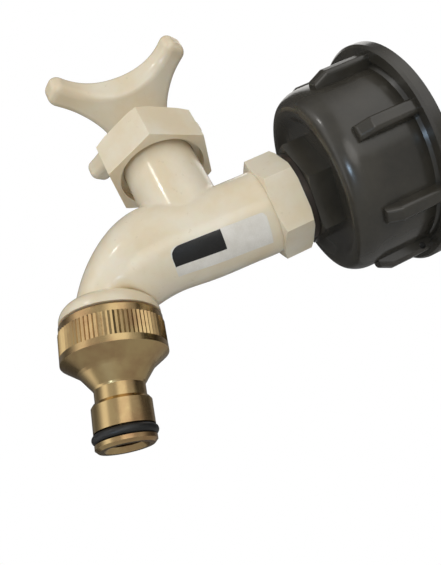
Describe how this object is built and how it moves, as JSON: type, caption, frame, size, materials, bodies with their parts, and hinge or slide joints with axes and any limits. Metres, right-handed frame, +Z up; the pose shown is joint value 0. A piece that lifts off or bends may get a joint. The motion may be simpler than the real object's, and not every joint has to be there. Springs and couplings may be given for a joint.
{
  "type": "ibc tap adapter",
  "caption": "Plastic tap with a four-arm handle on a large ribbed screw cap for a bulk tank, its spout carrying a knurled metal quick-connect hose fitting.",
  "frame": {"origin": "centre of the open mouth of the tank cap, on the inlet axis", "axes": "+Y along the inlet axis toward the tank, +Z up along the stem, so the tap stands out along -Y and its spout hangs down"},
  "size_m": [0.0808, 0.1335, 0.125],
  "materials": {
    "cream_plastic": "satin",
    "black_plastic": "semi-gloss",
    "brass": "satin",
    "black_rubber": "matte",
    "dark_seal": "matte"
  },
  "bodies": {
    "tap": {"tap_body": "cream_plastic", "bonnet_nut": "cream_plastic", "bonnet_seal": "black_rubber", "tank_cap": "black_plastic", "cap_gasket": "black_rubber", "inlet_seal": "dark_seal", "hose_connector": "brass", "connector_washer": "black_rubber", "spigot_ring": "black_rubber"},
    "valve": {"jumper": "cream_plastic", "jumper_washer": "black_rubber", "jumper_screw": "brass"},
    "handle": {"handle": "cream_plastic", "spindle_ring": "black_rubber"}
  },
  "joints": [
    {"name": "valve_lift", "type": "slide", "parent": "tap", "child": "valve", "axis": [0, 0, 1], "range_m": [0, 0.006]},
    {"name": "handle_turn", "type": "hinge", "parent": "valve", "child": "handle", "pos_m": [0, -0.077, 0.0475], "axis": [0, 0, 1], "range_deg": [0, 540]}
  ],
  "couplings": [
    {"joint": "valve_lift", "follows": "handle_turn", "m_per_rad": 0.00063662}
  ]
}
